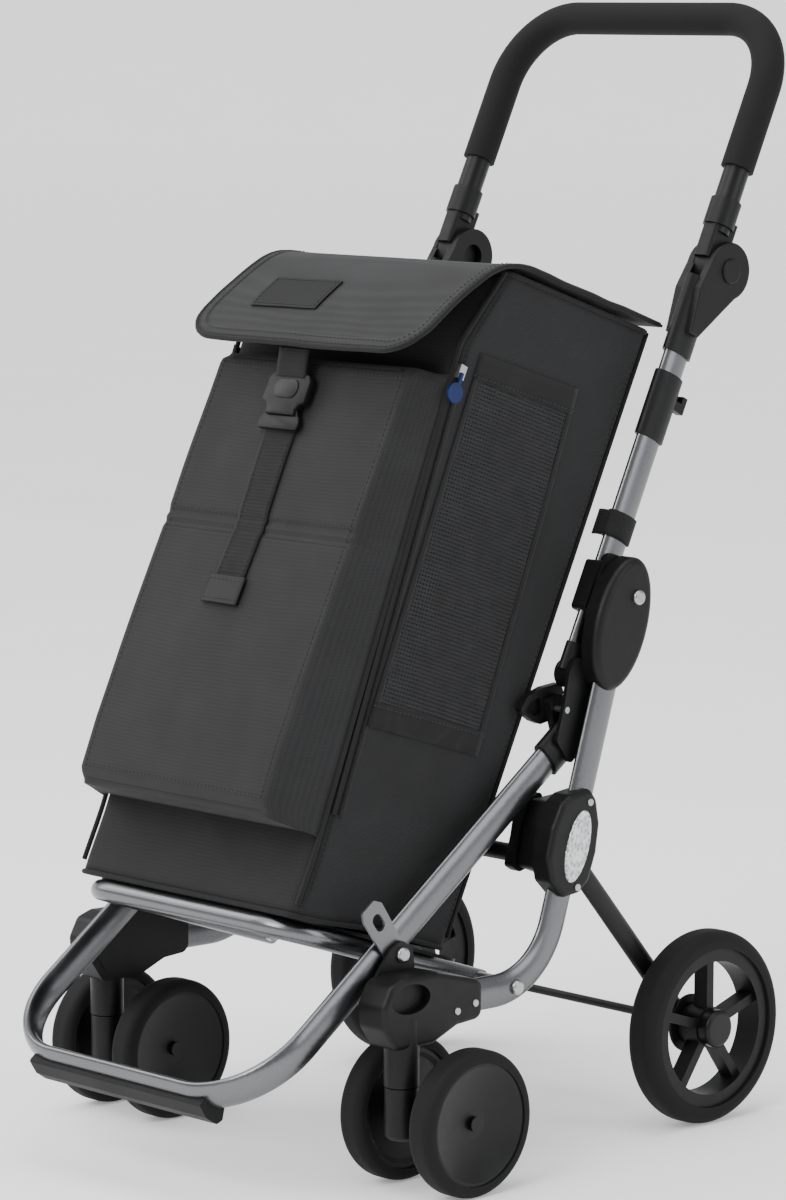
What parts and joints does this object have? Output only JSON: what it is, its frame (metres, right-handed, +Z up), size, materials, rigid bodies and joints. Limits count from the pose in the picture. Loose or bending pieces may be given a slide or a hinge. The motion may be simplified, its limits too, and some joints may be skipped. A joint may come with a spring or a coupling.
{
  "type": "shopping trolley",
  "caption": "Folding shopping trolley with a flap-closed fabric bag on an oval-tube frame, spoked rear wheels, twin front castors and a folding foam-gripped handle",
  "frame": {"origin": "centre of the trolley's bounding box in plan, on the floor", "axes": "+Z up, +Y towards the person pushing, where the handle is, -Y to the front, and +X to the side that carries the zip"},
  "size_m": [0.505, 0.6944, 1.0262],
  "materials": {
    "satin_tube": "satin anodised oval tube",
    "black_tube": "satin black powder coat",
    "black_plastic": "fine-grained moulded nylon",
    "black_rubber": "matte rubber",
    "black_tyre": "matte soft tread",
    "bright_steel": "zinc plated, lightly brushed",
    "clear_reflector": "clear prismatic lens",
    "foam_grip": "closed-cell foam, matte",
    "bag_fabric": "dense polyester weave, dark charcoal",
    "flap_fabric": "dense polyester weave, charcoal",
    "mesh_fabric": "open black mesh with woven bands",
    "webbing": "ribbed polyester webbing",
    "patch_rubber": "moulded rubber patch, blank",
    "blue_plastic": "glossy round charm, blank"
  },
  "bodies": {
    "chassis": {"side_tubes": "satin_tube", "front_frame_tube": "satin_tube", "platform_tube": "satin_tube", "base_board": "black_plastic", "castor_brackets": "black_plastic", "front_fitting": "black_plastic", "tab_bracket": "bright_steel", "kick_pad": "black_rubber", "knee_shells": "black_plastic", "reflectors": "clear_reflector", "pivot_covers": "black_plastic", "cross_bar": "black_plastic", "bag_body": "bag_fabric", "front_pocket": "bag_fabric", "mesh_pockets": "mesh_fabric", "closure_strap": "webbing", "buckle_prongs": "black_plastic", "frame_bolts": "bright_steel", "shell_screws": "bright_steel"},
    "upright_frame": {"upright_tubes": "satin_tube", "upright_feet": "black_plastic", "pivot_plates": "black_plastic", "coupling_sleeves": "black_plastic", "bag_loops": "webbing", "hinge_sleeves": "black_plastic"},
    "handle": {"handle_tube": "black_tube", "handle_grip": "foam_grip", "hinge_knuckles": "black_plastic"},
    "rear_frame": {"rear_legs": "black_tube", "leg_housings": "black_plastic", "rear_axle": "black_tube", "brake_drums": "black_plastic"},
    "flap": {"flap": "flap_fabric", "flap_patch": "patch_rubber", "buckle_socket": "black_plastic"},
    "zip_slider": {"zip_slider": "bright_steel", "zip_charm": "blue_plastic"},
    "latch_lever_right": {"latch_lever_right": "black_plastic"},
    "hinge_button_right": {"hinge_button_right": "black_plastic"},
    "rear_wheel_right": {"rear_rim_right": "black_plastic", "rear_tyre_right": "black_tyre", "hub_cap_right": "black_plastic"},
    "castor_right": {"castor_fork_right": "black_plastic", "castor_axle_right": "black_tube"},
    "castor_wheel_outer_right": {"castor_hub_outer_right": "black_plastic", "castor_tyre_outer_right": "black_tyre"},
    "castor_wheel_inner_right": {"castor_hub_inner_right": "black_plastic", "castor_tyre_inner_right": "black_tyre"},
    "latch_lever_left": {"latch_lever_left": "black_plastic"},
    "hinge_button_left": {"hinge_button_left": "black_plastic"},
    "rear_wheel_left": {"rear_rim_left": "black_plastic", "rear_tyre_left": "black_tyre", "hub_cap_left": "black_plastic"},
    "castor_left": {"castor_fork_left": "black_plastic", "castor_axle_left": "black_tube"},
    "castor_wheel_outer_left": {"castor_hub_outer_left": "black_plastic", "castor_tyre_outer_left": "black_tyre"},
    "castor_wheel_inner_left": {"castor_hub_inner_left": "black_plastic", "castor_tyre_inner_left": "black_tyre"}
  },
  "joints": [
    {"name": "frame_fold", "type": "hinge", "parent": "chassis", "child": "upright_frame", "pos_m": [0, 0.10402, 0.497], "axis": [1, 0, 0], "range_deg": [0, 135]},
    {"name": "handle_fold", "type": "hinge", "parent": "upright_frame", "child": "handle", "pos_m": [0, 0.24265, 0.78276], "axis": [-1, 0, 0], "range_deg": [0, 100]},
    {"name": "rear_leg_fold", "type": "hinge", "parent": "chassis", "child": "rear_frame", "pos_m": [0, 0.02902, 0.283], "axis": [-1, 0, 0], "range_deg": [0, 42]},
    {"name": "flap_hinge", "type": "hinge", "parent": "chassis", "child": "flap", "pos_m": [0, 0.18564, 0.73146], "axis": [-1, 0, 0], "range_deg": [0, 90]},
    {"name": "zip_travel", "type": "slide", "parent": "chassis", "child": "zip_slider", "axis": [0, -0.3611, -0.9325], "range_m": [0, 0.15]},
    {"name": "latch_lever_right", "type": "hinge", "parent": "chassis", "child": "latch_lever_right", "pos_m": [0.154, 0.03402, 0.4], "axis": [1, 0, 0], "range_deg": [0, 35], "stiffness_Nm_per_rad": 0.3, "springref_deg": -17.19},
    {"name": "hinge_button_right", "type": "slide", "parent": "upright_frame", "child": "hinge_button_right", "axis": [-1, 0, 0], "range_m": [0, 0.003], "stiffness_N_per_m": 400, "springref_m": -0.002},
    {"name": "rear_wheel_right", "type": "hinge", "parent": "rear_frame", "child": "rear_wheel_right", "pos_m": [0.199, 0.19802, 0.09], "axis": [1, 0, 0], "continuous": true},
    {"name": "castor_swivel_right", "type": "hinge", "parent": "chassis", "child": "castor_right", "pos_m": [0.196, -0.18698, 0.1], "axis": [0, 0, 1], "continuous": true},
    {"name": "castor_wheel_outer_right", "type": "hinge", "parent": "castor_right", "child": "castor_wheel_outer_right", "pos_m": [0.239, -0.14598, 0.065], "axis": [1, 0, 0], "continuous": true},
    {"name": "castor_wheel_inner_right", "type": "hinge", "parent": "castor_right", "child": "castor_wheel_inner_right", "pos_m": [0.153, -0.14598, 0.065], "axis": [1, 0, 0], "continuous": true},
    {"name": "latch_lever_left", "type": "hinge", "parent": "chassis", "child": "latch_lever_left", "pos_m": [-0.154, 0.03402, 0.4], "axis": [1, 0, 0], "range_deg": [0, 35], "stiffness_Nm_per_rad": 0.3, "springref_deg": -17.19},
    {"name": "hinge_button_left", "type": "slide", "parent": "upright_frame", "child": "hinge_button_left", "axis": [1, 0, 0], "range_m": [0, 0.003], "stiffness_N_per_m": 400, "springref_m": -0.002},
    {"name": "rear_wheel_left", "type": "hinge", "parent": "rear_frame", "child": "rear_wheel_left", "pos_m": [-0.199, 0.19802, 0.09], "axis": [1, 0, 0], "continuous": true},
    {"name": "castor_swivel_left", "type": "hinge", "parent": "chassis", "child": "castor_left", "pos_m": [-0.196, -0.18698, 0.1], "axis": [0, 0, 1], "continuous": true},
    {"name": "castor_wheel_outer_left", "type": "hinge", "parent": "castor_left", "child": "castor_wheel_outer_left", "pos_m": [-0.239, -0.14598, 0.065], "axis": [1, 0, 0], "continuous": true},
    {"name": "castor_wheel_inner_left", "type": "hinge", "parent": "castor_left", "child": "castor_wheel_inner_left", "pos_m": [-0.153, -0.14598, 0.065], "axis": [1, 0, 0], "continuous": true}
  ]
}
